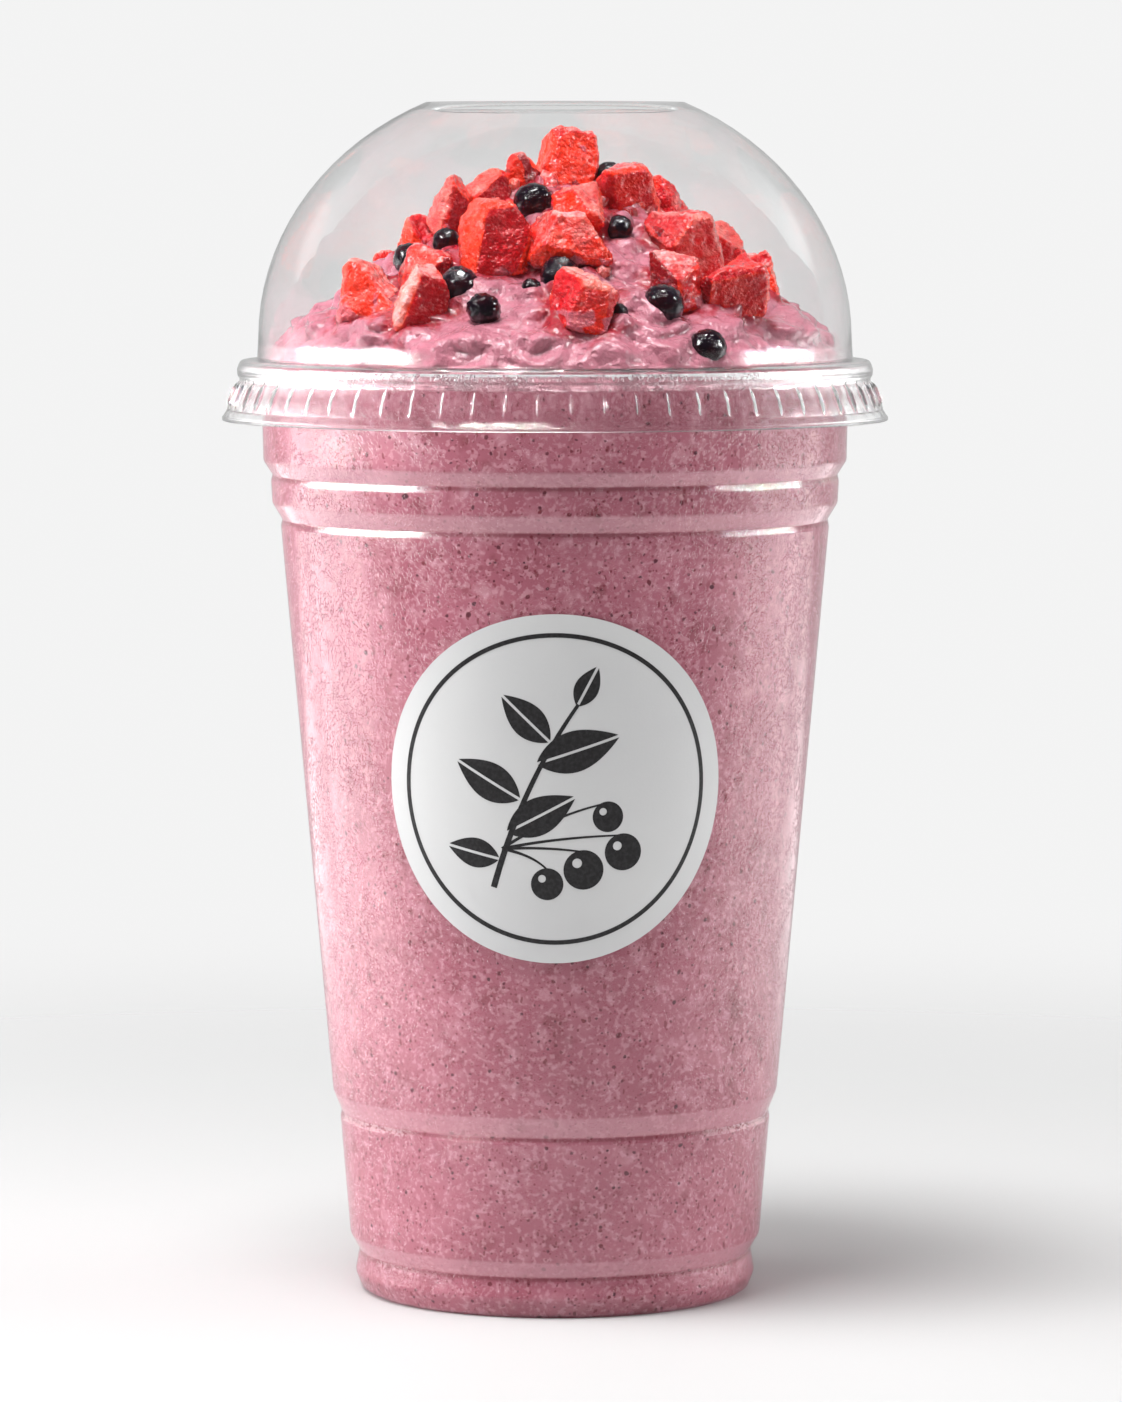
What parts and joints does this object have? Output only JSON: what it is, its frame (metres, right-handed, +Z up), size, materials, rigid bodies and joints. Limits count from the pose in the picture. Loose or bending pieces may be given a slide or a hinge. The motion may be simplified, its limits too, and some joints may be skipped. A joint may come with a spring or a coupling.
{
  "type": "berry smoothie",
  "caption": "Thick pink berry smoothie in a clear tapered plastic cup with a round sticker, heaped with cut strawberry and dark berries under a clear dome lid.",
  "frame": {"origin": "centre of the cup's standing ring, on the surface it stands on", "axes": "+Z up along the cup's axis, -Y towards the front, where the sticker is"},
  "size_m": [0.1056, 0.1056, 0.1892],
  "materials": {
    "cup_plastic": "clear gloss",
    "lid_plastic": "clear gloss",
    "smoothie": "wet, creamy",
    "label_paper": "satin",
    "strawberry": "wet, glossy",
    "dark_berry": "wet, glossy"
  },
  "bodies": {
    "root": {"cup": "cup_plastic", "dome_lid": "lid_plastic", "smoothie": "smoothie", "label": "label_paper", "strawberry_01": "strawberry", "strawberry_02": "strawberry", "strawberry_03": "strawberry", "strawberry_04": "strawberry", "strawberry_05": "strawberry", "strawberry_06": "strawberry", "strawberry_07": "strawberry", "strawberry_08": "strawberry", "strawberry_09": "strawberry", "strawberry_10": "strawberry", "strawberry_11": "strawberry", "strawberry_12": "strawberry", "strawberry_13": "strawberry", "strawberry_14": "strawberry", "strawberry_15": "strawberry", "strawberry_16": "strawberry", "strawberry_17": "strawberry", "strawberry_18": "strawberry", "strawberry_19": "strawberry", "strawberry_20": "strawberry", "strawberry_21": "strawberry", "strawberry_22": "strawberry", "strawberry_23": "strawberry", "strawberry_24": "strawberry", "strawberry_25": "strawberry", "strawberry_26": "strawberry", "strawberry_27": "strawberry", "strawberry_28": "strawberry", "strawberry_29": "strawberry", "strawberry_30": "strawberry", "strawberry_31": "strawberry", "strawberry_32": "strawberry", "berry_01": "dark_berry", "berry_02": "dark_berry", "berry_03": "dark_berry", "berry_04": "dark_berry", "berry_05": "dark_berry", "berry_06": "dark_berry", "berry_07": "dark_berry", "berry_08": "dark_berry", "berry_09": "dark_berry", "berry_10": "dark_berry", "berry_11": "dark_berry", "berry_12": "dark_berry", "berry_13": "dark_berry", "berry_14": "dark_berry", "berry_15": "dark_berry", "berry_16": "dark_berry", "berry_17": "dark_berry", "berry_18": "dark_berry", "berry_19": "dark_berry"}
  },
  "joints": []
}
